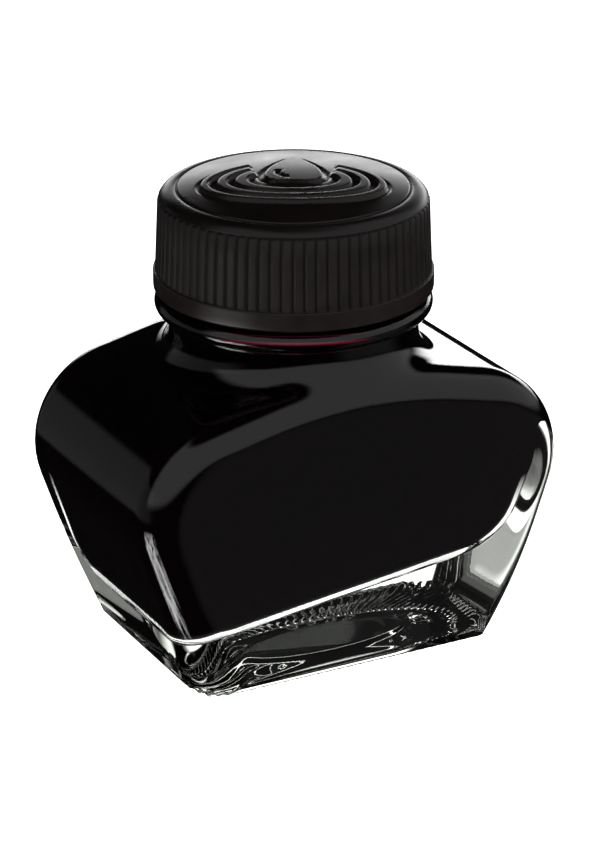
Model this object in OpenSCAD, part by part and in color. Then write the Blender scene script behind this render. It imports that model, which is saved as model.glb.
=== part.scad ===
// Ink bottle: squat thick-walled glass bottle, filled with ink and closed by a
// ribbed screw cap with a loose sealing liner. Z = 0 is the surface it stands on.

/* [Glass body] */
// Width of the body at its widest point, along X
body_w = 56.6; // [50:0.1:70]
// Depth of the body from front face to back face, along Y
body_d = 36; // [35.4:0.1:45]
// Width of the body outline where it meets the table, before its corner is rounded
base_w = 41.6; // [36:0.1:48]
// Height of the widest point above the table
belly_z = 23.9; // [20:0.1:30]
// Radius of the round shoulder, seen from the front
shoulder_r = 11.9; // [10:0.1:14]
// Fall of the shoulder from the neck outwards, in degrees
shoulder_fall = 12.9; // [8:0.1:18]
// Radius of the edges that frame the front and the back face
edge_r = 4; // [2.5:0.1:4.5]
// Radius of the lower corners, seen from the front
base_r = 2.5; // [1.5:0.1:4]
// Radius of the long curve in which the two shoulders meet over the neck
crown_r = 60; // [50:1:72]

/* [Glass wall] */
// Thickness of the side walls and the shoulder
side_wall = 2.3; // [1.8:0.1:3]
// Thickness of the front and back walls
face_wall = 3; // [2:0.1:4]
// Thickness of the glass under the ink
base_t = 9.4; // [6:0.1:11.6]
// Radius of the ink space's lower corners, seen from the front
well_r = 8.5; // [8:0.1:12.5]
// Radius of the ink space's other edges
well_edge_r = 5; // [3:0.1:7]
// Depth of the hollow under the bottle
recess_depth = 0.8; // [0.3:0.1:1.5]
// Width of the flat rim around that hollow, on which the bottle stands
heel_w = 3.4; // [2:0.1:5]
// Radius of the hollow's corners
recess_r = 4; // [2:0.1:6]

/* [Neck] */
// Outside radius of the neck below the bead
neck_r = 15.2; // [14.2:0.1:15.6]
// Height of that plain neck above the shoulder's crown
neck_h = 5; // [3.5:0.1:8]
// Radius of the fillet between the neck and the shoulder
neck_fillet = 1.4; // [0.6:0.1:1.6]
// Outside radius of the bead below the cap
bead_r = 16.9; // [16.3:0.1:17.4]
// Height of the bead
bead_h = 2.4; // [1.8:0.1:3]
// Length of the threaded finish, from the bead to the lip
finish_h = 9.7; // [9.2:0.1:12]
// Radius of the finish between the threads
finish_r = 13.7; // [13.3:0.1:13.9]
// Radius of the straight bore through the mouth
bore_r = 11.3; // [9.5:0.1:11.8]
// Radius of the neck's inside where it opens into the ink space
throat_r = 12.3; // [11.8:0.1:12.8]
// Radius of the rounded lip's edges
lip_r = 0.7; // [0.3:0.1:1]

/* [Thread] */
// Rise of the cap in one turn
thread_pitch = 4.2; // [3.8:0.05:4.6]
// Turns that each thread ridge goes round
thread_turns = 1.25; // [1:0.05:1.3]
// Height of the ridge on the glass
glass_ridge_h = 1.2; // [0.9:0.05:1.3]
// Height of the ridge inside the cap
cap_ridge_h = 1.1; // [0.8:0.05:1.2]
// Width of the ridge on the glass at its foot
glass_ridge_w = 2; // [1.6:0.05:2.2]
// Width of the ridge inside the cap at its foot
cap_ridge_w = 1.6; // [1.3:0.05:1.8]
// Fall of a ridge's flank from foot to crest, across the axis, per millimetre of height
flank_run = 0.5; // [0.35:0.05:0.55]
// Gap left between the two ridges where they bear on each other
thread_gap = 0.16; // [0.1:0.02:0.3]

/* [Cap] */
// Gap between the crest of the glass ridge and the inside of the cap
skirt_gap = 0.3; // [0.2:0.05:0.5]
// Thickness of the skirt at the smooth band
skirt_t = 1.8; // [1.5:0.05:2.2]
// Gap between the cap's lower edge and the bead
bead_gap = 0.5; // [0.3:0.1:1.2]
// Height of the smooth band at the lower edge
band_h = 2.4; // [1.6:0.1:3.5]
// Step from the band in to the crests of the ribs
band_step = 0.25; // [0.1:0.05:0.4]
// Draft of the skirt: how much narrower the ribs are at their top
skirt_draft = 0.4; // [0:0.05:0.6]
// Number of ribs around the skirt
rib_count = 76; // [48:2:90]
// Height of a rib above the groove beside it
rib_h = 0.3; // [0.15:0.05:0.35]
// Thickness of the cap's top plate at its rim
top_t = 1.1; // [0.9:0.1:2]
// Height of the plain sloping shoulder between the ribs and the dome
cap_shoulder_h = 1.2; // [0.8:0.1:1.6]
// Radius of the raised line around the dome
dome_r = 13.9; // [12.5:0.1:14]
// Rise of the dome from that line to its middle
dome_h = 1.9; // [1:0.1:3]
// Height of the plain rim above the ribs
rim_h = 0.5; // [0.3:0.1:0.8]
// Step from the ribs' crests out to that rim
rim_step = 0.05; // [0.02:0.01:0.1]
// Bevel of the cap's lower edge
mouth_bevel = 0.4; // [0.2:0.1:0.8]

/* [Liner and ink] */
// Thickness of the sealing liner
liner_t = 1.2; // [0.8:0.1:1.6]
// Gap between the liner and the glass lip below, and the cap above
liner_gap = 0.05; // [0.02:0.01:0.1]
// Gap around the liner, inside the cap
liner_side_gap = 0.4; // [0.3:0.05:0.6]
// Depth of the ink's surface below the bead's middle
ink_drop = 1.2; // [0.8:0.1:3]
// Film of space between the ink and the glass
ink_gap = 0.05; // [0.03:0.01:0.1]

/* [Hidden] */
$fn = 96;
overlap = 0.3;            // how far joined shapes reach into each other

// Front outline of the body
half_w = body_w / 2;
half_d = body_d / 2;
half_base = base_w / 2;
arc_x = half_w - shoulder_r;               // centre of the shoulder's arc
to_arc = norm([arc_x - half_base, belly_z]);
side_lean = atan2(belly_z, arc_x - half_base) - asin(shoulder_r / to_arc);
side_normal = side_lean - 90;              // direction that the straight side faces
shoulder_normal = 90 - shoulder_fall;      // direction that the shoulder faces
arc_steps = 14;
corner_steps = 5;
edge_steps = 5;
crown_steps = 6;

// Heights of the neck and the cap, each stacked on the one before
crown_x = neck_r - 2 * neck_fillet;        // where the shoulder line passes into the neck
shoulder_end = [arc_x + shoulder_r * cos(shoulder_normal), belly_z + shoulder_r * sin(shoulder_normal)];
crown_z = shoulder_end.y + (shoulder_end.x - crown_x) * tan(shoulder_fall);
crown_c = shoulder_end.y + shoulder_end.x * tan(shoulder_fall) - crown_r / cos(shoulder_fall);
bead_z = crown_z + neck_h;
finish_z = bead_z + bead_h;
lip_z = finish_z + finish_h;
bore_z = bead_z + bead_h / 2;              // the straight bore starts here
ink_z = bore_z - ink_drop;
throat_z = crown_z - side_wall;
cap_z = finish_z + bead_gap;
skirt_in_r = finish_r + glass_ridge_h + skirt_gap;
band_r = skirt_in_r + skirt_t;
rib_low_r = band_r - band_step;
rib_top_r = rib_low_r - skirt_draft;
rib_z = cap_z + band_h;
liner_z = lip_z + liner_gap;
liner_r = skirt_in_r - liner_side_gap;
ceiling_z = liner_z + liner_t + liner_gap;
cap_rim_z = ceiling_z + top_t - overlap;
rib_top_z = cap_rim_z - rim_h;
rim_r = rib_top_r + rim_step;
core_r = (skirt_in_r + rib_top_r - rib_h) / 2;   // the skirt's solid wall behind the ribs
dome_z = cap_rim_z + cap_shoulder_h;
dome_ball_r = (dome_r * dome_r + dome_h * dome_h) / (2 * dome_h);
dome_half = asin(dome_r / dome_ball_r);
rib_corners = [0, 0.2, 0.5, 0.7];          // where a rib's section bends, as parts of its pitch
dome_steps = 16;
crown_flat = 1;           // degrees of the dome's arc on each side of the axis that are left flat

// Helix of the glass ridge, and the cap ridge that bears up against it from below
ridge_step = 10;                           // degrees between two sections of a ridge
lip_margin = 0.2;                          // plain glass between the ridge and the rounded lip
glass_ridge_top = lip_z - lip_r - glass_ridge_w / 2 - lip_margin;
glass_ridge_z = glass_ridge_top - thread_turns * thread_pitch;
bearing_drop = (glass_ridge_w + cap_ridge_w) / 2 + thread_gap
             - flank_run * (skirt_in_r - finish_r);
cap_ridge_z = glass_ridge_z - bearing_drop;
cap_ridge_start = 90;                      // angle at which the cap ridge starts, above its mouth

// Points of an arc, from angle a to angle b
function arc(centre, r, a, b, steps) =
    [for (i = [0:steps]) let (t = a + (b - a) * i / steps) centre + r * [cos(t), sin(t)]];

// Centre of the lower corner's arc, at distance q from the floor line and from the straight side
function corner_centre(floor_z, q, wall) =
    let (side = side_normal,
         reach = shoulder_r - wall - q,
         x = arc_x + (reach + (floor_z + q - belly_z) * -sin(side)) / cos(side))
    [x, floor_z + q];

// Closed front outline, moved inwards by wall + inset, with its floor at floor_z + inset
function outline(floor_z, corner_r, wall, inset) =
    let (q = max(corner_r, inset),
         r = shoulder_r - wall - inset,
         half_step = (90 - shoulder_normal) / (2 * crown_steps + 1),
         right = concat(
             arc(corner_centre(floor_z, q, wall), q - inset, -90, side_normal, corner_steps),
             arc([arc_x, belly_z], r, side_normal, shoulder_normal, arc_steps),
             arc([0, crown_c], crown_r - wall - inset, shoulder_normal, 90 - half_step, crown_steps)))
    concat(right, [for (i = [len(right) - 1:-1:0]) [-right[i].x, right[i].y]]);

// Sections of a body from front to back: the outline shrinks round both edges
function body_rings(floor_z, corner_r, wall, reach, r) =
    [for (side = [-1, 1]) for (i = [0:edge_steps])
        let (t = 90 * (side < 0 ? i : edge_steps - i) / edge_steps,
             y = side * (reach - r * (1 - cos(t))))
        [for (p = outline(floor_z, corner_r, wall, r * (1 - sin(t)))) [p.x, y, p.y]]];

// A closed solid skinned over rings of equally many points. Each ring runs counter-clockwise
// for someone who looks the way the rings advance.
module skin(rings) {
    n = len(rings[0]);
    last = len(rings) - 1;
    faces = concat(
        [[for (i = [n - 1:-1:0]) i]],
        [for (k = [0:last - 1]) for (i = [0:n - 1])
            let (a = k * n + i, b = k * n + (i + 1) % n)
            each [[a, b, a + n], [b, b + n, a + n]]],
        [[for (i = [0:n - 1]) last * n + i]]);
    polyhedron([for (ring = rings) each ring], faces, convexity = 6);
}

// A thread ridge: its foot lies on radius r, and it stands out (side 1) or in (side -1)
module ridge(r, height, width, z, start, side) {
    foot = r - side * overlap;
    crest = r + side * height;
    tip_w = width - 2 * flank_run * height;
    foot_w = width + 2 * flank_run * overlap;
    steps = round(thread_turns * 360 / ridge_step);
    section = [[foot, -foot_w / 2], [crest, -tip_w / 2], [crest, tip_w / 2], [foot, foot_w / 2]];
    order = side > 0 ? [0, 1, 2, 3] : [3, 2, 1, 0];
    skin([for (k = [0:steps])
        let (turn = start + thread_turns * 360 * k / steps, lift = z + thread_pitch * turn / 360)
        [for (i = order) let (p = section[i]) [p.x * cos(turn), p.x * sin(turn), lift + p.y]]]);
}

// A flat plate with round corners, centred on the axis
module rounded_plate(w, d, h, r) {
    translate([-w / 2 + r, -d / 2, 0]) cube([w - 2 * r, d, h]);
    translate([-w / 2, -d / 2 + r, 0]) cube([w, d - 2 * r, h]);
    for (x = [-1, 1]) for (y = [-1, 1])
        translate([x * (w / 2 - r), y * (d / 2 - r), 0]) cylinder(r = r, h = h, $fn = 48);
}

// Neck, bead, finish and lip, turned about the axis
module neck_outside() {
    foot = crown_z - side_wall / 2;
    fillet_c = [neck_r + neck_fillet, crown_z + neck_fillet];
    rotate_extrude() polygon(concat(
        [[0, foot], [neck_r + neck_fillet, foot]],
        arc(fillet_c, neck_fillet, 270, 180, corner_steps),
        [[neck_r, bead_z]],
        arc([bead_r - bead_h / 2, bead_z + bead_h / 2], bead_h / 2, -80, 80, 2 * corner_steps),
        [[finish_r, finish_z]],
        arc([finish_r - lip_r, lip_z - lip_r], lip_r, 0, 90, corner_steps),
        [[0, lip_z]]));
}

// Space inside the neck, shrunk by gap and cut off at top
module neck_inside(gap, top) {
    mouth_r = bore_r - gap;
    wide_r = throat_r - gap;
    level_r = wide_r + (mouth_r - wide_r) * (min(top, bore_z) - throat_z) / (bore_z - throat_z);
    foot = throat_z - well_edge_r;
    rotate_extrude() polygon(concat(
        [[0, foot], [wide_r, foot], [wide_r, throat_z], [level_r, min(top, bore_z)]],
        top > bore_z ? [[mouth_r, top]] : [],
        [[0, top]]));
}

// Space for the ink in the body, shrunk by gap
module ink_space(gap) {
    skin(body_rings(base_t + gap, well_r - gap, side_wall + gap, half_d - face_wall - gap,
                    well_edge_r - gap));
}

module glass_bottle() {
    color([0.80, 0.86, 0.84, 0.45]) difference() {
        union() {
            skin(body_rings(0, base_r, 0, half_d, edge_r));
            neck_outside();
            ridge(finish_r, glass_ridge_h, glass_ridge_w, glass_ridge_z, 0, 1);
        }
        ink_space(0);
        neck_inside(0, bore_z);
        translate([0, 0, bore_z - overlap]) cylinder(r = bore_r, h = lip_z - bore_z + 2 * overlap);
        translate([0, 0, -recess_depth]) rounded_plate(
            2 * (corner_centre(0, base_r, 0).x - heel_w), body_d - 2 * (edge_r + heel_w),
            2 * recess_depth, recess_r);
    }
}

module ink() {
    color([0.06, 0.01, 0.02]) union() {
        ink_space(ink_gap);
        neck_inside(ink_gap, ink_z);
    }
}

// Tapered ring of ribs around the skirt
module ribs() {
    skin([for (k = [0, 1])
        let (z = k == 0 ? rib_z - overlap : rib_top_z + rim_h / 2, r = k == 0 ? rib_low_r : rib_top_r)
        [for (i = [rib_count - 1:-1:0]) for (q = [3:-1:0])
            let (t = (i + rib_corners[q]) * 360 / rib_count,
                 rr = q == 1 || q == 2 ? r : r - rib_h)
            [rr * cos(t), rr * sin(t), z]]]);
}

module screw_cap() {
    color([0.11, 0.10, 0.11]) union() {
        difference() {
            union() {
                ribs();
                rotate_extrude() polygon(concat(
                    [[0, cap_z], [band_r - mouth_bevel, cap_z], [band_r, cap_z + mouth_bevel],
                     [band_r, rib_z], [core_r, rib_z], [core_r, rib_top_z],
                     [rim_r, rib_top_z], [rim_r, cap_rim_z]],
                    [for (i = [0:dome_steps])
                        let (t = dome_half * (1 - i / dome_steps) + crown_flat * i / dome_steps)
                        [dome_ball_r * sin(t), dome_z + dome_h - dome_ball_r * (1 - cos(t))]],
                    [[0, dome_z + dome_h - dome_ball_r * (1 - cos(crown_flat))]]));
            }
            translate([0, 0, cap_z - overlap]) cylinder(r = skirt_in_r, h = ceiling_z - cap_z + overlap);
        }
        ridge(skirt_in_r, cap_ridge_h, cap_ridge_w, cap_ridge_z, cap_ridge_start, -1);
    }
}

module sealing_liner() {
    color([0.90, 0.90, 0.88]) translate([0, 0, liner_z]) cylinder(r = liner_r, h = liner_t);
}

glass_bottle();
ink();
screw_cap();
sealing_liner();
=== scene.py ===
"""Ink bottle: a squat pressed-glass bottle of ink with a ribbed screw cap, on a pale studio floor.

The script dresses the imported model: each section makes one piece from its real sizes in
millimetres, gives it the material it is really made of, and hangs it on the body it moves with.
"""
import math

import bpy
import numpy as np
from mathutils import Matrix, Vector


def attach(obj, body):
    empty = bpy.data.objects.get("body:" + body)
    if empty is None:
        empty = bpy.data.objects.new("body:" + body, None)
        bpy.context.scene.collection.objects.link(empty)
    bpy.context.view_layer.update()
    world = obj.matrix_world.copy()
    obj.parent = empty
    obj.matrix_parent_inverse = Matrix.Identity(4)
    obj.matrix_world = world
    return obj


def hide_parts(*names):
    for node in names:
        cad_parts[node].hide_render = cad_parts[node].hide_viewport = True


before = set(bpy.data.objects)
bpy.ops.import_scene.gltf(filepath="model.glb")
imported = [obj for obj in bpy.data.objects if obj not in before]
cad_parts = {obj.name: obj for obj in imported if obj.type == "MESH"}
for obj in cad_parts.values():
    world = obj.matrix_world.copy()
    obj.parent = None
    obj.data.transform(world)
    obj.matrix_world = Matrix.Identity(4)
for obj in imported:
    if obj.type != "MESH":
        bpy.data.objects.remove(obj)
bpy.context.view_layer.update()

# ---------------------------------------------------------------------------------------------
# Glass bottle. One pressing of clear soda-lime glass: slanting body, round neck with a transfer
# bead, threaded finish and lip, thick base with a knurled heel that the bottle stands on.
# ---------------------------------------------------------------------------------------------
MM = 0.001
BODY_D = 36.0            # front face to back face
HALF_BASE = 20.8         # where the slanting side would meet the floor
BELLY_X, BELLY_Z = 28.29, 23.9
SHOULDER_R = 11.9        # round shoulder, seen from the front
SHOULDER_FALL = math.radians(12.9)
BASE_R = 2.5             # lower corner, seen from the front
EDGE_R = 4.0             # edges that frame the front and the back face
LOW_EDGE = 4.5           # how much rounder the upright edges get towards the floor
NECK_R = 15.2
NECK_FILLET = 2.7
BEAD_R, BEAD_Z, BEAD_H = 16.9, 42.02, 2.4
FINISH_R, LIP_Z, LIP_R = 13.7, 54.12, 0.7
BORE_R, THROAT_R, BORE_Z = 11.3, 12.3, 43.22
PITCH, THREAD_TURNS = 4.2, 1.25
RIDGE_H, RIDGE_W, RIDGE_Z = 1.2, 2.0, 46.97
SIDE_WALL, FACE_WALL, BASE_T = 2.3, 3.0, 9.4
CROWN_R = 60.0           # the shoulders run together over the neck in a long curve
WELL_R, WELL_EDGE_R, THROAT_FILLET = 8.5, 5.0, 2.0
FLOOR_TILT = 0.12        # the ink space's floor came out thicker on the right
KNURLS = 96              # bars pressed round the heel
KNURL_DEPTH = 0.38
RECESS_DEPTH = 0.8


def corner_distance(p, centre, radius, n_a, n_b, h_a, h_b):
    """Distance of points p to two lines n.p = h whose convex corner is rounded by an arc.

    It is the larger of the two line distances, except between the normals as seen from the
    arc's centre, where it is the distance to the centre less the radius.
    """
    a = p @ n_a - h_a
    b = p @ n_b - h_b
    q = p - centre
    past_a = n_a[0] * q[..., 1] - n_a[1] * q[..., 0] > 0
    before_b = q[..., 0] * n_b[1] - q[..., 1] * n_b[0] > 0
    between = past_a & before_b
    return np.where(between, np.hypot(q[..., 0], q[..., 1]) - radius, np.maximum(a, b))


def body_distance(p, wall, face_wall, floor_z, corner_r, edge_r, upright_r):
    """Distance of points p (mm) to the body's surface, moved inwards by the walls.

    The front outline is three lines - floor, slanting side, shoulder - with round corners. It is
    extruded from front to back, and the edges of the two faces are rounded by edge_r: the
    distance to a box of outline distance by depth, each taken edge_r further in. The upright
    corners are cut back once more, by an arc of upright_r between the side and the face.
    """
    x = np.abs(p[..., 0])
    flat = np.stack([x, p[..., 2]], -1)
    arc = np.array([BELLY_X - SHOULDER_R, BELLY_Z])
    reach = np.hypot(arc[0] - HALF_BASE, arc[1])
    lean = math.atan2(arc[1], arc[0] - HALF_BASE) - math.asin(SHOULDER_R / reach)
    side = np.array([math.sin(lean), -math.cos(lean)])
    top = np.array([math.sin(SHOULDER_FALL), math.cos(SHOULDER_FALL)])
    floor = np.array([0.0, -1.0])
    h_side = side @ arc + SHOULDER_R - wall
    h_top = top @ arc + SHOULDER_R - wall
    # the lower corner's arc lies corner_r from the floor line and from the side line
    cz = floor_z + corner_r
    cx = (h_side - corner_r - side[1] * cz) / side[0]
    low = corner_distance(flat, np.array([cx, cz]), corner_r, floor, side, -floor_z, h_side)
    high = corner_distance(flat, arc, SHOULDER_R - wall, side, top, h_side, h_top)
    crown = np.array([0.0, h_top / top[1] - CROWN_R / top[1]])
    over = (flat - crown) @ np.array([top[1], -top[0]]) < 0
    round_top = np.hypot(*np.moveaxis(flat - crown, -1, 0)) - CROWN_R
    high = np.where(over & (flat[..., 1] > BELLY_Z), round_top, high)
    outline = np.where(p[..., 2] < 0.5 * (cz + BELLY_Z), low, high)
    a = outline + edge_r
    b = np.abs(p[..., 1]) - (BODY_D / 2 - face_wall - edge_r)
    rounded = np.hypot(np.maximum(a, 0), np.maximum(b, 0)) + np.minimum(np.maximum(a, b), 0) - edge_r
    a = flat @ side - h_side + upright_r
    b = np.abs(p[..., 1]) - (BODY_D / 2 - face_wall) + upright_r
    upright = np.hypot(np.maximum(a, 0), np.maximum(b, 0)) + np.minimum(np.maximum(a, b), 0) - upright_r
    return np.maximum(rounded, upright)


def joined_distance(p, body, neck_r, fillet):
    """Distance to a body joined to an upright cylinder by a round fillet.

    Where both distances a and b are below the fillet's radius r, the join is
    r minus the length of (r - a, r - b); elsewhere it is the smaller distance.
    """
    neck = np.hypot(p[..., 0], p[..., 1]) - neck_r
    neck = np.maximum(neck, BELLY_Z - p[..., 2])
    a = np.maximum(fillet - body, 0)
    b = np.maximum(fillet - neck, 0)
    joined = np.maximum(fillet, np.minimum(body, neck)) - np.hypot(a, b)
    # deep inside both, where that formula grows too fast, the nearer of the two bounds it
    return np.maximum(joined, np.minimum(body, neck) - fillet / 2)


def outer_distance(p):
    """Distance to the outside of body and neck."""
    upright_r = EDGE_R + LOW_EDGE * np.clip(1 - p[..., 2] / 16, 0, 1) ** 2
    body = body_distance(p, 0, 0, 0, BASE_R, EDGE_R, upright_r)
    return joined_distance(p, body, NECK_R, NECK_FILLET)


def well_distance(p):
    """Distance to the wall of the space that holds the ink."""
    lean = np.clip((24 - p[..., 2]) / 12, 0, 1) * FLOOR_TILT * p[..., 0]
    p = p - lean[..., None] * np.array([0, 0, 1.0])
    well = body_distance(p, SIDE_WALL, FACE_WALL, BASE_T, WELL_R, WELL_EDGE_R, WELL_EDGE_R)
    return joined_distance(p, well, THROAT_R, THROAT_FILLET)


def cast(distance, centre_z, azimuth, polar, grow=0.0):
    """Points where rays from the axis at centre_z first meet a surface.

    azimuth and polar are angles, polar from straight down; each ray is walked outwards by the
    distance that is left, which closes in on the surface. grow moves the surface outwards.
    """
    polar, azimuth = np.broadcast_arrays(polar, azimuth)
    out = np.sin(polar)
    way = np.stack([out * np.cos(azimuth), out * np.sin(azimuth), -np.cos(polar)], -1)
    centre = np.array([0, 0, centre_z])
    run = np.full(polar.shape, 4.0)
    for _ in range(90):
        run -= distance(centre + way * run[..., None]) - grow
    return centre + way * run[..., None]


def even_round(half_x, half_y, count):
    """Azimuths of points spaced evenly along a rounded rectangle."""
    t = np.linspace(0, 2 * np.pi, 20001)
    c, s = np.cos(t), np.sin(t)
    # the rectangle as a polar curve: a high-power mean of its two sides keeps the corners round
    power = 8
    rho = (np.abs(c / half_x) ** power + np.abs(s / half_y) ** power) ** (-1 / power)
    run = np.r_[0, np.cumsum(np.hypot(np.diff(rho * c), np.diff(rho * s)))]
    return np.interp(np.arange(count) / count * run[-1], run, t)


def revolved(profile, azimuth):
    """Rings of points: each (radius, height) of the profile turned round the axis."""
    r, z = np.asarray(profile, float).T
    shape = (len(r), len(azimuth))
    z = np.broadcast_to(z[:, None], shape)
    return np.stack([r[:, None] * np.cos(azimuth), r[:, None] * np.sin(azimuth), z], -1)


def arc_profile(cr, cz, r, start, end, steps):
    """(radius, height) points of an arc round (cr, cz), from start to end in degrees."""
    t = np.radians(np.linspace(start, end, steps + 1))
    return np.stack([cr + r * np.cos(t), cz + r * np.sin(t)], -1)


def ridge_height(azimuth, z, start_z, start, height, width):
    """Height of a helical thread ridge at each point of a wall.

    The ridge's middle rises by one pitch a turn; its flanks fall off in a straight slope with a
    soft foot, and its two ends run out over a quarter of a turn.
    """
    turn = np.mod(azimuth - start, 2 * np.pi)
    best = np.zeros(np.broadcast(azimuth, z).shape)
    for k in range(3):
        along = turn + 2 * np.pi * k
        middle = start_z + PITCH * along / (2 * np.pi)
        side = np.abs(z - middle)
        crest = np.clip((width / 2 - side) / (0.5 * width - 0.4), 0, 1)
        crest = crest * crest * (3 - 2 * crest)
        ends = np.clip(np.minimum(along, THREAD_TURNS * 2 * np.pi - along) / (np.pi / 2), 0, 1)
        best = np.maximum(best, height * crest * np.sqrt(np.maximum(ends, 0)))
    return best


def surface(name, rows, top, bottom):
    """A mesh object skinned over rings of points in mm, closed by a pole at each end.

    Each quad joins neighbours on two rings; each pole is one point joined to its ring. Rings run
    counter-clockwise from above, from the bottom pole outwards, so that faces point outwards.
    """
    n_rows, n = rows.shape[:2]
    poles = np.array([[0, 0, bottom], [0, 0, top]], float)
    points = np.concatenate([rows.reshape(-1, 3), poles]) * MM
    k = np.arange(n)
    nxt = np.roll(k, -1)
    base = (np.arange(n_rows - 1) * n)[:, None]
    quads = np.stack([base + k, base + nxt, base + n + nxt, base + n + k], -1).reshape(-1, 4)
    low_pole = np.full(n, n_rows * n)
    last = (n_rows - 1) * n
    fans = np.concatenate([
        np.stack([low_pole, nxt, k], -1),
        np.stack([low_pole + 1, last + k, last + nxt], -1),
    ])
    mesh = bpy.data.meshes.new(name)
    mesh.from_pydata(points, [], quads.tolist() + fans.tolist())
    mesh.shade_smooth()
    mesh.update()
    obj = bpy.data.objects.new(name, mesh)
    bpy.context.scene.collection.objects.link(obj)
    return obj


COLUMNS_PER_KNURL = 4
columns = even_round(19.0, 14.0, COLUMNS_PER_KNURL * KNURLS)
CAST_Z = 20.0            # the axis point from which the rays reach the outside
PLAIN_NECK_Z = 40.6      # above it the neck is plainly round
BASE_FLAT_R = 17.5       # out to here the rays meet the base

# the base, from its middle out to the heel, then the body up to the plain neck
end_polar = math.pi - math.atan2(NECK_R, PLAIN_NECK_Z - CAST_Z)
base_polar = np.linspace(0, math.atan2(BASE_FLAT_R, CAST_Z), 62)[1:]
side_polar = np.concatenate([
    np.linspace(base_polar[-1], math.radians(57), 24)[1:],
    np.linspace(math.radians(57), math.radians(100), 18)[1:],
    np.linspace(math.radians(100), end_polar, 36)[1:],
])
polar = np.concatenate([base_polar, side_polar])
outside = cast(outer_distance, CAST_Z, columns[None, :], polar[:, None])

# hollow under the base, and the knurled heel round it
OVAL = (17.0, 11.0)      # half axes of the hollow
INNER_OVAL = (11.5, 6.6)
OVAL_STEP = 0.2          # how far the hollow's rim steps up from the heel
RING_RISE = 0.22         # how far the ring rises from its outer oval to the inner one
MARK_H = 0.24            # height of the mould marks
x, y, z = np.moveaxis(outside, -1, 0)
on_base = z < 0.9
oval = np.hypot(x / OVAL[0], y / OVAL[1])
inner_oval = np.hypot(x / INNER_OVAL[0], y / INNER_OVAL[1])


def step(value, edge, width):
    """0 below the edge, 1 above it, and a smooth S across the width."""
    t = np.clip((value - edge) / width + 0.5, 0, 1)
    return t * t * (3 - 2 * t)


# between the ovals the ring rises inwards by three degrees, and the middle is flat
slant = RING_RISE * np.clip((0.98 - oval) / 0.34, 0, 1)
hollow = OVAL_STEP * (1 - step(oval, 0.99, 0.06)) + slant
hollow += (RECESS_DEPTH - hollow) * (1 - step(inner_oval, 0.97, 0.12))
bars = 0.5 + 0.5 * np.cos(np.arange(len(columns)) * 2 * np.pi / COLUMNS_PER_KNURL)
heel_zone = step(oval, 1.08, 0.08) * (1 - step(z, 0.6, 0.5))
# raised mould marks, plain short dashes, on the ring between the two ovals
around = np.arctan2(y / 0.65, x)
dashes = step(np.cos(34 * around), 0.25, 0.5) * step(np.cos(5 * around - 0.6), -0.2, 0.4)
marks = MARK_H * dashes * step(oval, 0.74, 0.05) * (1 - step(oval, 0.87, 0.05))
outside[..., 2] += np.where(on_base, hollow - marks + KNURL_DEPTH * heel_zone * bars, 0)

# neck, bead, threaded finish, lip and bore
neck = np.concatenate([
    [[NECK_R, PLAIN_NECK_Z + 0.3], [NECK_R, BEAD_Z - 0.62]],
    arc_profile(NECK_R + 0.5, BEAD_Z - 0.5, 0.5, 180, 100, 6),
    arc_profile(BEAD_R - BEAD_H / 2, BEAD_Z + BEAD_H / 2, BEAD_H / 2, -84, 82, 16),
    [[FINISH_R + 0.25, BEAD_Z + BEAD_H], [FINISH_R, BEAD_Z + BEAD_H + 0.25]],
])
finish_z = np.linspace(BEAD_Z + BEAD_H + 0.5, LIP_Z - LIP_R - 0.15, 26)
finish = np.stack([np.full(len(finish_z), FINISH_R), finish_z], -1)
lip = np.concatenate([
    arc_profile(FINISH_R - LIP_R, LIP_Z - LIP_R, LIP_R, 0, 90, 5),
    arc_profile(BORE_R + LIP_R, LIP_Z - LIP_R, LIP_R, 90, 180, 5),
])
neck, finish, lip = (revolved(part, columns) for part in (neck, finish, lip))
ridge = ridge_height(columns[None, :], finish[..., 2], RIDGE_Z, 0.0, RIDGE_H, RIDGE_W)
finish[..., :2] *= (1 + ridge / FINISH_R)[..., None]

# the ink space, from the throat down to the middle of its floor
WELL_CAST_Z = 26.0
THROAT_Z = 38.5          # from here up the throat narrows to the bore
well_start = math.pi - math.atan2(THROAT_R, THROAT_Z - WELL_CAST_Z)
well_polar = np.linspace(well_start, 0, 54)[:-1]
well = cast(well_distance, WELL_CAST_Z, columns[None, :], well_polar[:, None])
throat = revolved([[BORE_R, BORE_Z], [0.5 * (BORE_R + THROAT_R), 0.5 * (BORE_Z + THROAT_Z)]], columns)
rings = np.concatenate([outside, neck, finish, lip, throat, well])
glass = surface("glass_bottle_pressing", rings, top=BASE_T, bottom=RECESS_DEPTH)


def linear(colour):
    """An sRGB hex colour such as "a0b0c0" as linear RGBA, by the sRGB transfer curve."""
    v = np.array([int(colour[i:i + 2], 16) / 255 for i in (0, 2, 4)])
    v = np.where(v <= 0.04045, v / 12.92, ((v + 0.055) / 1.055) ** 2.4)
    return (*v.tolist(), 1.0)


def node(material, kind, settings=(), links=()):
    """Adds a shader node; settings are its properties or socket values, links feed its sockets."""
    tree = material.node_tree
    made = tree.nodes.new(kind)
    for key, value in dict(settings).items():
        if key in made.inputs:
            made.inputs[key].default_value = value
        else:
            setattr(made, key, value)
    for key, source in dict(links).items():
        tree.links.new(source, made.inputs[key])
    return made


def new_material(name, **values):
    """A material with one Principled shader; returns the material and that shader."""
    made = bpy.data.materials.new(name)
    made.use_nodes = True
    shader = made.node_tree.nodes["Principled BSDF"]
    for key, value in values.items():
        shader.inputs[key.replace("_", " ")].default_value = value
    return made, shader


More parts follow.
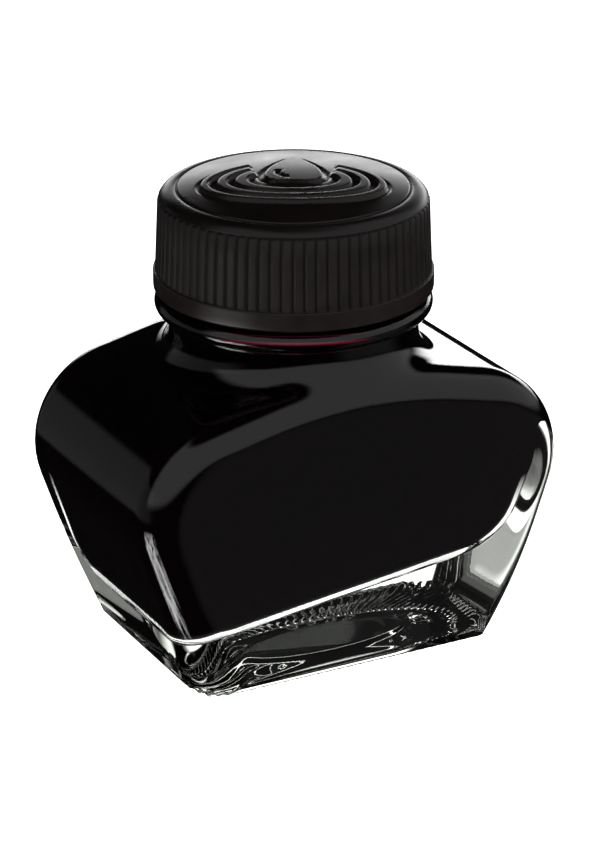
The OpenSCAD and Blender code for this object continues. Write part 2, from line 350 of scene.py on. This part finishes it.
# Soda-lime glass, fire polished: refractive index 1.52, no roughness, and the faint ripple that a
# steel mould leaves under the polish, a few millimetres from wave to wave.
pressed_glass, shader = new_material(
    "pressed_soda_lime_glass", Base_Color=linear("fbfdfc"), Roughness=0.0, IOR=1.52,
    Transmission_Weight=1.0)
place = node(pressed_glass, "ShaderNodeTexCoord")
ripple = node(pressed_glass, "ShaderNodeTexNoise", {"Scale": 1 / (6 * MM), "Detail": 1.0},
              {"Vector": place.outputs["Object"]})
bump = node(pressed_glass, "ShaderNodeBump", {"Strength": 0.04, "Distance": 0.1 * MM},
            {"Height": ripple.outputs["Fac"]})
pressed_glass.node_tree.links.new(bump.outputs["Normal"], shader.inputs["Normal"])
# iron in the sand takes a little light, least of all green, over every millimetre of glass
tint = node(pressed_glass, "ShaderNodeVolumeAbsorption", {"Color": linear("c9cbc4"), "Density": 30.0})
pressed_glass.node_tree.links.new(
    tint.outputs["Volume"], pressed_glass.node_tree.nodes["Material Output"].inputs["Volume"])
glass.data.materials.append(pressed_glass)
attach(glass, "bottle")
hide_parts("glass_bottle")

# ---------------------------------------------------------------------------------------------
# Ink. Nearly black dye in water, filled up into the neck. It wets the glass all over, so its
# surface lies a hair inside the glass; at its level a painted red glow stands for light seen through
# the thin ink.
# ---------------------------------------------------------------------------------------------
INK_Z = 42.02            # its level
WET = 0.25               # how far the ink's skin lies inside the glass, so that they touch
FILM_Z = 50.0            # how high the ink last ran up the neck
throat_slope = (BORE_R - THROAT_R) / (BORE_Z - THROAT_Z)
ink_well = cast(well_distance, WELL_CAST_Z, columns[None, :], well_polar[::-1, None], grow=WET)
# above its level a film of ink clings to the neck's inside, as high as it last ran
throat_fill = [[THROAT_R + throat_slope * (z - THROAT_Z) + WET, z] for z in (39.7, 40.9, 42.1)]
neck_fill = revolved(throat_fill + [
    [BORE_R + WET, BORE_Z], [BORE_R + WET, FILM_Z - 0.3], [BORE_R + WET - 0.05, FILM_Z],
    [BORE_R - 0.04, FILM_Z], [BORE_R - 0.08, FILM_Z - 0.4], [BORE_R - 0.1, BORE_Z],
    [BORE_R - 0.1, INK_Z + 0.4], [BORE_R - 0.25, INK_Z + 0.1], [BORE_R - 0.7, INK_Z - 0.05],
    [BORE_R - 2.0, INK_Z - 0.12], [BORE_R * 0.5, INK_Z - 0.12]], columns)
ink = surface("ink_fill", np.concatenate([ink_well, neck_fill]), top=INK_Z - 0.12, bottom=BASE_T - WET)

# Writing ink: black in depth, with painted burgundy bands at its level, a painted glow of light seen
# through the thin ink. Against the glass it mirrors wherever light grazes it, because its refractive
# index, 1.33, is lower than the glass's 1.52.
writing_ink, shader = new_material(
    "burgundy_black_ink", Base_Color=linear("060203"), Roughness=0.3, IOR=1.33, Specular_IOR_Level=0.0)
place = node(writing_ink, "ShaderNodeTexCoord")
height = node(writing_ink, "ShaderNodeSeparateXYZ", links={"Vector": place.outputs["Object"]})
level = node(writing_ink, "ShaderNodeMapRange",
             {"From Min": 41.0 * MM, "From Max": 42.0 * MM}, {"Value": height.outputs["Z"]})
# painted red glow: two burgundy bands just below the ink's level, standing in for light seen through
# the thin ink
painted_glow_bands = node(writing_ink, "ShaderNodeValToRGB", links={"Fac": level.outputs["Result"]})
painted_glow_bands.color_ramp.elements[0].color = linear("060203")
painted_glow_bands.color_ramp.elements[0].position = 0.10
painted_glow_bands.color_ramp.elements[1].color = linear("060203")
painted_glow_bands.color_ramp.elements[1].position = 0.96
for position, colour in ((0.14, "581228"), (0.22, "581228"), (0.28, "0a0304"), (0.70, "0a0304"),
                         (0.76, "9a2042"), (0.88, "9a2042")):
    painted_glow_bands.color_ramp.elements.new(position).color = linear(colour)
# the painted red glow shows only on the front left side, the side that faces the camera
toward_camera = node(writing_ink, "ShaderNodeVectorMath", {"operation": "DOT_PRODUCT"})
tree = writing_ink.node_tree
tree.links.new(place.outputs["Object"], toward_camera.inputs[0])
toward_camera.inputs[1].default_value = (-0.47, -0.88, 0)
camera_side_glow_mask = node(writing_ink, "ShaderNodeMapRange",
               {"interpolation_type": "SMOOTHSTEP", "From Min": 8.0 * MM, "From Max": 10.5 * MM},
               {"Value": toward_camera.outputs["Value"]})
painted_glow_colour = node(writing_ink, "ShaderNodeMix", {"data_type": "RGBA"})
painted_glow_colour.inputs[6].default_value = linear("060203")
tree.links.new(camera_side_glow_mask.outputs["Result"], painted_glow_colour.inputs[0])
tree.links.new(painted_glow_bands.outputs["Color"], painted_glow_colour.inputs[7])
tree.links.new(painted_glow_colour.outputs[2], shader.inputs["Base Color"])
graze = node(writing_ink, "ShaderNodeFresnel", {"IOR": 1.33 / 1.52})
# higher up a film of drying ink dulls the glass, and nothing is mirrored
bright = node(writing_ink, "ShaderNodeMapRange",
              {"From Min": 21 * MM, "From Max": 15 * MM}, {"Value": height.outputs["Z"]})
share = node(writing_ink, "ShaderNodeMath", {"operation": "MULTIPLY"})
mirror = node(writing_ink, "ShaderNodeBsdfGlossy", {"Roughness": 0.0, "Color": (1, 1, 1, 1)})
interface = node(writing_ink, "ShaderNodeMixShader")
sharp = node(writing_ink, "ShaderNodeMath", {"operation": "POWER"}, {"Value": graze.outputs["Fac"]})
sharp.inputs[1].default_value = 2.0
tree.links.new(sharp.outputs[0], share.inputs[0])
tree.links.new(bright.outputs["Result"], share.inputs[1])
tree.links.new(share.outputs[0], interface.inputs[0])
tree.links.new(shader.outputs["BSDF"], interface.inputs[1])
tree.links.new(mirror.outputs["BSDF"], interface.inputs[2])
tree.links.new(interface.outputs["Shader"], tree.nodes["Material Output"].inputs["Surface"])
ink.data.materials.append(writing_ink)
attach(ink, "bottle")
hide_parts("ink")

# ---------------------------------------------------------------------------------------------
# Screw cap. One moulding in black polypropylene: domed top with a raised ink-drop emblem, round
# shoulder, finely ribbed skirt with a smooth band at its foot, and the thread inside.
# ---------------------------------------------------------------------------------------------
CAP_Z, CAP_TOP_Z = 44.92, 59.28
BAND_R, BAND_TOP = 17.0, 47.32
RIB_LOW_R, RIB_TOP_R, RIB_TOP_Z = 16.75, 16.35, 56.1
RIBS, RIB_H = 76, 0.28
DOME_R, DOME_EDGE_Z = 13.95, 57.45
SKIRT_IN_R, CEILING_Z = 15.2, 55.42
CAP_RIDGE_H, CAP_RIDGE_W, CAP_RIDGE_Z, CAP_RIDGE_START = 1.1, 1.6, 45.76 + PITCH / 4, math.pi / 2
RELIEF = 0.36            # how far the emblem stands out
EMBLEM_TURN = math.radians(-28)
EMBLEM_R = 13.2          # the emblem ends here, short of the dome's edge
RINGS = ((6.2, 0.8), (8.5, 0.66), (10.6, 0.54))    # radius and half width of each ring

# a rib is a flat crest between two steep flanks; the groove beside it is a fifth of the pitch
rib_fraction = np.array([0.0, 0.1, 0.19, 0.31, 0.52, 0.76, 0.91])
rib_shape = np.array([1.0, 1.0, 0.12, 0.02, 0.0, 0.02, 0.12])
cap_columns = ((np.arange(RIBS)[:, None] + rib_fraction) * 2 * np.pi / RIBS).ravel()
rib_cut = np.tile(rib_shape, RIBS) * RIB_H


def emblem(x, y):
    """Height of the relief on the dome for points in mm from its middle: 1 on top, below 0 in a groove.

    A falling ink drop over the rings it makes. The drop's half width is a power of a sine of its
    height, which runs up to a point, and a bowed highlight is sunk into it. Each ring is an ellipse
    round the point where the drop lands, open behind the drop. A groove follows every line.
    """
    u = x * math.cos(EMBLEM_TURN) + y * math.sin(EMBLEM_TURN)
    v = -x * math.sin(EMBLEM_TURN) + y * math.cos(EMBLEM_TURN)
    # teardrop: half its width at height v, as a circle below and a sine-like taper above
    t = np.clip((v + 3.4) / 10.6, 0, 1)
    half = 3.3 * np.sqrt(np.maximum(np.sin(np.pi * t ** 0.62), 0)) * (1 - t) ** 0.38 * 1.25
    inside = half - np.abs(u)
    shape = step(t, 0.01, 0.02) * (1 - step(t, 0.97, 0.04))
    drop = step(inside, 0.15, 0.3) * shape
    shine = step(0.9 - np.abs(np.hypot(u, v + 0.1) - 1.9), 0.55, 0.3) * (u < -0.5) * (v < 0.8)
    raised = drop * (1 - 0.7 * shine)
    ring_d = np.hypot(u / 1.0, (v + 2.2) / 0.62)
    gap = step(np.hypot(u, (v - 3.0) * 0.8), 5.2, 0.6)
    groove = step(inside, -0.75, 0.3) * (1 - step(inside, -0.2, 0.3)) * shape
    for radius, width in RINGS:
        line = step(width - np.abs(ring_d - radius), 0.0, 0.4)
        beside = step(width + 0.45 - np.abs(ring_d - radius), 0.0, 0.4)
        raised = np.maximum(raised, line * gap * (1 - drop))
        groove = np.maximum(groove, (beside - line) * gap * (1 - drop))
    return (raised - 0.6 * groove) * step(EMBLEM_R - np.hypot(x, y), 0.3, 0.6)


def dome_height(r):
    """Height of the dome at radius r: a sphere through its edge and its top."""
    rise = CAP_TOP_Z - RELIEF - DOME_EDGE_Z
    ball = (DOME_R ** 2 + rise ** 2) / (2 * rise)
    return DOME_EDGE_Z + rise - ball + np.sqrt(ball ** 2 - r ** 2)


inside = [[SKIRT_IN_R - 0.2, CEILING_Z], [SKIRT_IN_R, CEILING_Z - 0.2]]
inside += [[SKIRT_IN_R, z] for z in np.linspace(CEILING_Z - 0.5, CAP_Z + 0.3, 32)]
inside = revolved([[r, CEILING_Z] for r in (2, 6, 10, 13)] + inside, cap_columns)
ridge = ridge_height(cap_columns[None, :], inside[..., 2], CAP_RIDGE_Z, CAP_RIDGE_START,
                     CAP_RIDGE_H, CAP_RIDGE_W)
on_wall = inside[..., 2] < CEILING_Z - 0.3
inside[..., :2] *= (1 - np.where(on_wall, ridge, 0) / SKIRT_IN_R)[..., None]

band = revolved(np.concatenate([
    [[SKIRT_IN_R + 0.3, CAP_Z], [16.3, CAP_Z]],
    arc_profile(BAND_R - 0.45, CAP_Z + 0.45, 0.45, -90, 0, 6),
    [[BAND_R, CAP_Z + 1.2], [BAND_R, BAND_TOP - 0.3]],
    arc_profile(BAND_R - 0.12, BAND_TOP - 0.12, 0.12, 0, 90, 3),
    [[RIB_LOW_R + 0.02, BAND_TOP + 0.01]],
]), cap_columns)

rib_z = np.concatenate([[BAND_TOP + 0.05], np.linspace(BAND_TOP + 0.2, RIB_TOP_Z - 0.25, 5),
                        RIB_TOP_Z - np.array([0.12, 0.04])])
rib_r = np.interp(rib_z, [BAND_TOP, RIB_TOP_Z], [RIB_LOW_R, RIB_TOP_R])
rib_r -= np.interp(rib_z, [RIB_TOP_Z - 0.25, RIB_TOP_Z], [0, 0.2])
ribs = revolved(np.stack([rib_r, rib_z], -1), cap_columns)
ribs[..., :2] *= (1 - rib_cut / RIB_LOW_R)[None, :, None]

shoulder = revolved(np.concatenate([
    [[RIB_TOP_R - RIB_H - 0.06, RIB_TOP_Z + 0.02], [RIB_TOP_R - RIB_H - 0.06, RIB_TOP_Z + 0.16],
     [RIB_TOP_R - 0.14, RIB_TOP_Z + 0.2]],
    arc_profile(14.55, 55.55, 1.8, 26, 88, 12),
    [[14.3, 57.33], [14.16, 57.22], [14.06, 57.1]],
    [[DOME_R + 0.02, 57.12], [DOME_R, DOME_EDGE_Z - 0.2]],
    arc_profile(DOME_R - 0.2, DOME_EDGE_Z - 0.17, 0.2, 20, 72, 3),
]), cap_columns)

dome_r = np.linspace(DOME_R - 0.25, 0, 98)[:-1]
dome = revolved(np.stack([dome_r, dome_height(dome_r)], -1), cap_columns)
dome[..., 2] += RELIEF * emblem(dome[..., 0], dome[..., 1])
cap = surface("screw_cap_moulding", np.concatenate([inside, band, ribs, shoulder, dome]),
              top=CAP_TOP_Z, bottom=CEILING_Z)
# Black polypropylene: dome and band come satin from a polished mould, the ribs matt from a spark
# eroded one; hands have rubbed the rib crests a little paler, in patches.
black_polypropylene, shader = new_material(
    "moulded_black_polypropylene", IOR=1.49, Specular_IOR_Level=0.34)
tree = black_polypropylene.node_tree
place = node(black_polypropylene, "ShaderNodeTexCoord")
height = node(black_polypropylene, "ShaderNodeSeparateXYZ", links={"Vector": place.outputs["Object"]})
flow = node(black_polypropylene, "ShaderNodeTexNoise", {"Scale": 1 / (5 * MM), "Detail": 3.0},
            {"Vector": place.outputs["Object"]})
carbon = node(black_polypropylene, "ShaderNodeValToRGB", links={"Fac": flow.outputs["Fac"]})
carbon.color_ramp.elements[0].color = linear("0a0706")
carbon.color_ramp.elements[1].color = linear("130e0d")
matt = node(black_polypropylene, "ShaderNodeMapRange",
            {"From Min": (RIB_TOP_Z + 0.3) * MM, "From Max": (RIB_TOP_Z - 0.1) * MM, "To Min": 0.30,
             "To Max": 0.56}, {"Value": height.outputs["Z"]})
foot = node(black_polypropylene, "ShaderNodeMapRange",
            {"From Min": (BAND_TOP - 0.1) * MM, "From Max": (BAND_TOP + 0.1) * MM, "To Min": 0.36,
             "To Max": 0.56}, {"Value": height.outputs["Z"]})
zone = node(black_polypropylene, "ShaderNodeMath", {"operation": "MINIMUM"})
tree.links.new(matt.outputs["Result"], zone.inputs[0])
tree.links.new(foot.outputs["Result"], zone.inputs[1])
dull = node(black_polypropylene, "ShaderNodeMapRange",
            {"From Min": 0.3, "From Max": 0.7, "To Min": -0.05, "To Max": 0.05},
            {"Value": flow.outputs["Fac"]})
gloss = node(black_polypropylene, "ShaderNodeMath", {"operation": "ADD"})
tree.links.new(zone.outputs[0], gloss.inputs[0])
tree.links.new(dull.outputs["Result"], gloss.inputs[1])
tree.links.new(gloss.outputs[0], shader.inputs["Roughness"])
# a rib crest leans in as it rises, so the wear follows radius plus height times that lean
lean_in = (RIB_LOW_R - RIB_TOP_R) / (RIB_TOP_Z - BAND_TOP)
spread = node(black_polypropylene, "ShaderNodeVectorMath", {"operation": "MULTIPLY"})
tree.links.new(place.outputs["Object"], spread.inputs[0])
spread.inputs[1].default_value = (1, 1, 0)
radius = node(black_polypropylene, "ShaderNodeVectorMath", {"operation": "LENGTH"})
tree.links.new(spread.outputs["Vector"], radius.inputs[0])
crest = node(black_polypropylene, "ShaderNodeMath", {"operation": "MULTIPLY_ADD"})
tree.links.new(height.outputs["Z"], crest.inputs[0])
crest.inputs[1].default_value = lean_in
tree.links.new(radius.outputs["Value"], crest.inputs[2])
on_crest = node(black_polypropylene, "ShaderNodeMapRange",
                {"From Min": (RIB_LOW_R - 0.08 + lean_in * BAND_TOP) * MM,
                 "From Max": (RIB_LOW_R + lean_in * BAND_TOP) * MM, "To Max": 0.5},
                {"Value": crest.outputs[0]})
rub = node(black_polypropylene, "ShaderNodeTexNoise", {"Scale": 1 / (2.5 * MM), "Detail": 4.0},
           {"Vector": place.outputs["Object"]})
worn = node(black_polypropylene, "ShaderNodeMath", {"operation": "MULTIPLY"})
tree.links.new(on_crest.outputs["Result"], worn.inputs[0])
tree.links.new(rub.outputs["Fac"], worn.inputs[1])
rubbed = node(black_polypropylene, "ShaderNodeMix", {"data_type": "RGBA"})
rubbed.inputs[7].default_value = linear("261f1d")
tree.links.new(worn.outputs[0], rubbed.inputs[0])
tree.links.new(carbon.outputs["Color"], rubbed.inputs[6])
tree.links.new(rubbed.outputs[2], shader.inputs["Base Color"])
grain = node(black_polypropylene, "ShaderNodeTexNoise", {"Scale": 1 / (0.15 * MM), "Detail": 2.0},
             {"Vector": place.outputs["Object"]})
texture = node(black_polypropylene, "ShaderNodeBump", {"Strength": 0.2, "Distance": 0.02 * MM},
               {"Height": grain.outputs["Fac"]})
tree.links.new(texture.outputs["Normal"], shader.inputs["Normal"])
cap.data.materials.append(black_polypropylene)
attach(cap, "cap")
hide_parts("screw_cap")

# ---------------------------------------------------------------------------------------------
# Sealing liner. A disc of closed-cell foam pressed into the cap's ceiling, pale grey and skinned
# smooth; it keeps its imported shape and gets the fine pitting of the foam.
# ---------------------------------------------------------------------------------------------
skinned_foam, shader = new_material(
    "closed_cell_foam", Base_Color=linear("c9c6be"), Roughness=0.62, IOR=1.45)
place = node(skinned_foam, "ShaderNodeTexCoord")
cells = node(skinned_foam, "ShaderNodeTexVoronoi", {"Scale": 1 / (0.25 * MM)},
             {"Vector": place.outputs["Object"]})
mottle = node(skinned_foam, "ShaderNodeTexNoise", {"Scale": 1 / (3 * MM), "Detail": 3.0},
              {"Vector": place.outputs["Object"]})
foam_colour = node(skinned_foam, "ShaderNodeValToRGB", links={"Fac": mottle.outputs["Fac"]})
foam_colour.color_ramp.elements[0].color = linear("bdb9b0")
foam_colour.color_ramp.elements[1].color = linear("d6d3cc")
pits = node(skinned_foam, "ShaderNodeBump", {"Strength": 0.5, "Distance": 0.03 * MM},
            {"Height": cells.outputs["Distance"]})
skinned_foam.node_tree.links.new(foam_colour.outputs["Color"], shader.inputs["Base Color"])
skinned_foam.node_tree.links.new(pits.outputs["Normal"], shader.inputs["Normal"])
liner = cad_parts["sealing_liner"]
liner.data.materials.clear()
liner.data.materials.append(skinned_foam)

# ---------------------------------------------------------------------------------------------
# Studio: a white light table to stand on, a low bright backdrop behind, a broad soft light above
# the front, and dark room everywhere else, so that the glass and the ink keep their depth.
# ---------------------------------------------------------------------------------------------
floor_mesh = bpy.data.meshes.new("studio_floor")
floor_mesh.from_pydata([(-3, -3, 0), (3, -3, 0), (3, 3, 0), (-3, 3, 0)], [], [(0, 1, 2, 3)])
floor = bpy.data.objects.new("studio_floor", floor_mesh)
bpy.context.scene.collection.objects.link(floor)
CAMERA_TURN, CAMERA_RISE = math.radians(-27.93), math.radians(22.21)
opal_acrylic, shader = new_material(
    "opal_light_table", Base_Color=linear("f4f4f4"), Roughness=0.9, Emission_Color=(1, 1, 1, 1))
# the tubes under the sheet light a long strip of it, in line with the camera, fading to the sides
place = node(opal_acrylic, "ShaderNodeTexCoord")
turned = node(opal_acrylic, "ShaderNodeMapping", {"Rotation": (0, 0, -CAMERA_TURN)},
              {"Vector": place.outputs["Object"]})
STRIP_HALF_WIDTH, STRIP_HALF_LENGTH = 0.055, 0.20
strip = node(opal_acrylic, "ShaderNodeVectorMath", {"operation": "MULTIPLY"})
opal_acrylic.node_tree.links.new(turned.outputs["Vector"], strip.inputs[0])
strip.inputs[1].default_value = (1 / STRIP_HALF_WIDTH, 1 / STRIP_HALF_LENGTH, 0)
far = node(opal_acrylic, "ShaderNodeVectorMath", {"operation": "LENGTH"})
opal_acrylic.node_tree.links.new(strip.outputs["Vector"], far.inputs[0])
glow = node(opal_acrylic, "ShaderNodeMapRange",
            {"interpolation_type": "SMOOTHSTEP", "From Min": 0.95, "From Max": 2.4, "To Min": 1.7,
             "To Max": 0.15}, {"Value": far.outputs["Value"]})
opal_acrylic.node_tree.links.new(glow.outputs["Result"], shader.inputs["Emission Strength"])
floor_mesh.materials.append(opal_acrylic)
floor.visible_glossy = False

sun_data = bpy.data.lights.new("overhead_scrim", "SUN")
sun_data.energy = 0.8
sun_data.angle = math.radians(60)
sun = bpy.data.objects.new("overhead_scrim", sun_data)
sun.visible_glossy = False
bpy.context.scene.collection.objects.link(sun)

studio = bpy.data.worlds.new("studio")
bpy.context.scene.world = studio
bpy.context.scene.view_settings.view_transform = "Standard"
studio.use_nodes = True
place = node(studio, "ShaderNodeTexCoord")
way = node(studio, "ShaderNodeSeparateXYZ", links={"Vector": place.outputs["Generated"]})


def fade(value, start, end):
    """0 before start and 1 after end, with a smooth S between; falls instead if end < start."""
    made = node(studio, "ShaderNodeMapRange",
                {"interpolation_type": "SMOOTHSTEP", "From Min": start, "From Max": end},
                {"Value": value})
    return made.outputs["Result"]


def product(*values):
    """The values multiplied together."""
    made = values[0]
    for value in values[1:]:
        times = studio.node_tree.nodes.new("ShaderNodeMath")
        times.operation = "MULTIPLY"
        for socket, source in zip(times.inputs, (made, value)):
            if isinstance(source, float):
                socket.default_value = source
            else:
                studio.node_tree.links.new(source, socket)
        made = times.outputs[0]
    return made


def total(*values):
    """The values added together."""
    made = values[0]
    for value in values[1:]:
        plus = studio.node_tree.nodes.new("ShaderNodeMath")
        plus.operation = "ADD"
        studio.node_tree.links.new(made, plus.inputs[0])
        studio.node_tree.links.new(value, plus.inputs[1])
        made = plus.outputs[0]
    return made


# the backdrop is a low strip behind the table; its height and reach are sines of angles
backdrop = product(fade(way.outputs["Z"], -0.03, 0.02), fade(way.outputs["Z"], 0.26, 0.16),
                   fade(way.outputs["Y"], 0.2, 0.6), fade(way.outputs["X"], 0.05, 0.3), 4.0)
dim_side = product(fade(way.outputs["Z"], -0.30, -0.22), fade(way.outputs["Z"], 0.30, 0.22),
                   fade(way.outputs["X"], -0.2, -0.35), fade(way.outputs["Y"], -0.4, 0.1), 0.14)
softbox = product(fade(way.outputs["Z"], -0.05, 0.12), fade(way.outputs["Z"], 0.97, 0.90),
                  fade(way.outputs["Y"], 0.35, 0.1), 0.62)
front = product(fade(way.outputs["Z"], 0.0, -0.1), fade(way.outputs["Y"], 0.0, -0.5),
                fade(way.outputs["X"], 0.1, 0.4), 0.11)
# a narrow white card low on the left, which only the rounded front edge picks up
card = product(fade(way.outputs["Z"], -0.36, -0.50), fade(way.outputs["X"], -0.45, -0.58),
               fade(way.outputs["Y"], -0.40, -0.25), fade(way.outputs["Y"], 0.30, 0.15), 8.0)
room = node(studio, "ShaderNodeValue")
room.outputs[0].default_value = 0.006
# the card is crumpled, so its brightness comes and goes
crumple = node(studio, "ShaderNodeTexNoise", {"Scale": 9.0, "Detail": 3.0},
               {"Vector": place.outputs["Generated"]})
card = product(card, fade(crumple.outputs["Fac"], 0.36, 0.60))
background = studio.node_tree.nodes["Background"]
strength = total(room.outputs[0], backdrop, dim_side, softbox, front, card)
studio.node_tree.links.new(strength, background.inputs["Strength"])
background.inputs["Color"].default_value = (1, 1, 1, 1)

# ---------------------------------------------------------------------------------------------
# Camera: a long lens from the front left, looking down by about 22 degrees.
# ---------------------------------------------------------------------------------------------
level_reach = math.cos(CAMERA_RISE)
back = np.array([math.sin(CAMERA_TURN) * level_reach, -math.cos(CAMERA_TURN) * level_reach,
                 math.sin(CAMERA_RISE)])
right = np.array([math.cos(CAMERA_TURN), math.sin(CAMERA_TURN), 0])
target = np.array([0, 0, 26.75 * MM]) + right * 0.29 * MM
CAMERA_DISTANCE = 0.4063
camera_data = bpy.data.cameras.new("camera")
camera_data.lens = 140.47      # mm, on a sensor 36 mm wide
camera_data.clip_start = 0.01
camera = bpy.data.objects.new("camera", camera_data)
camera.location = target + back * CAMERA_DISTANCE
camera.rotation_mode = "QUATERNION"
camera.rotation_quaternion = Vector(-back).to_track_quat("-Z", "Y")
bpy.context.scene.collection.objects.link(camera)
bpy.context.scene.camera = camera
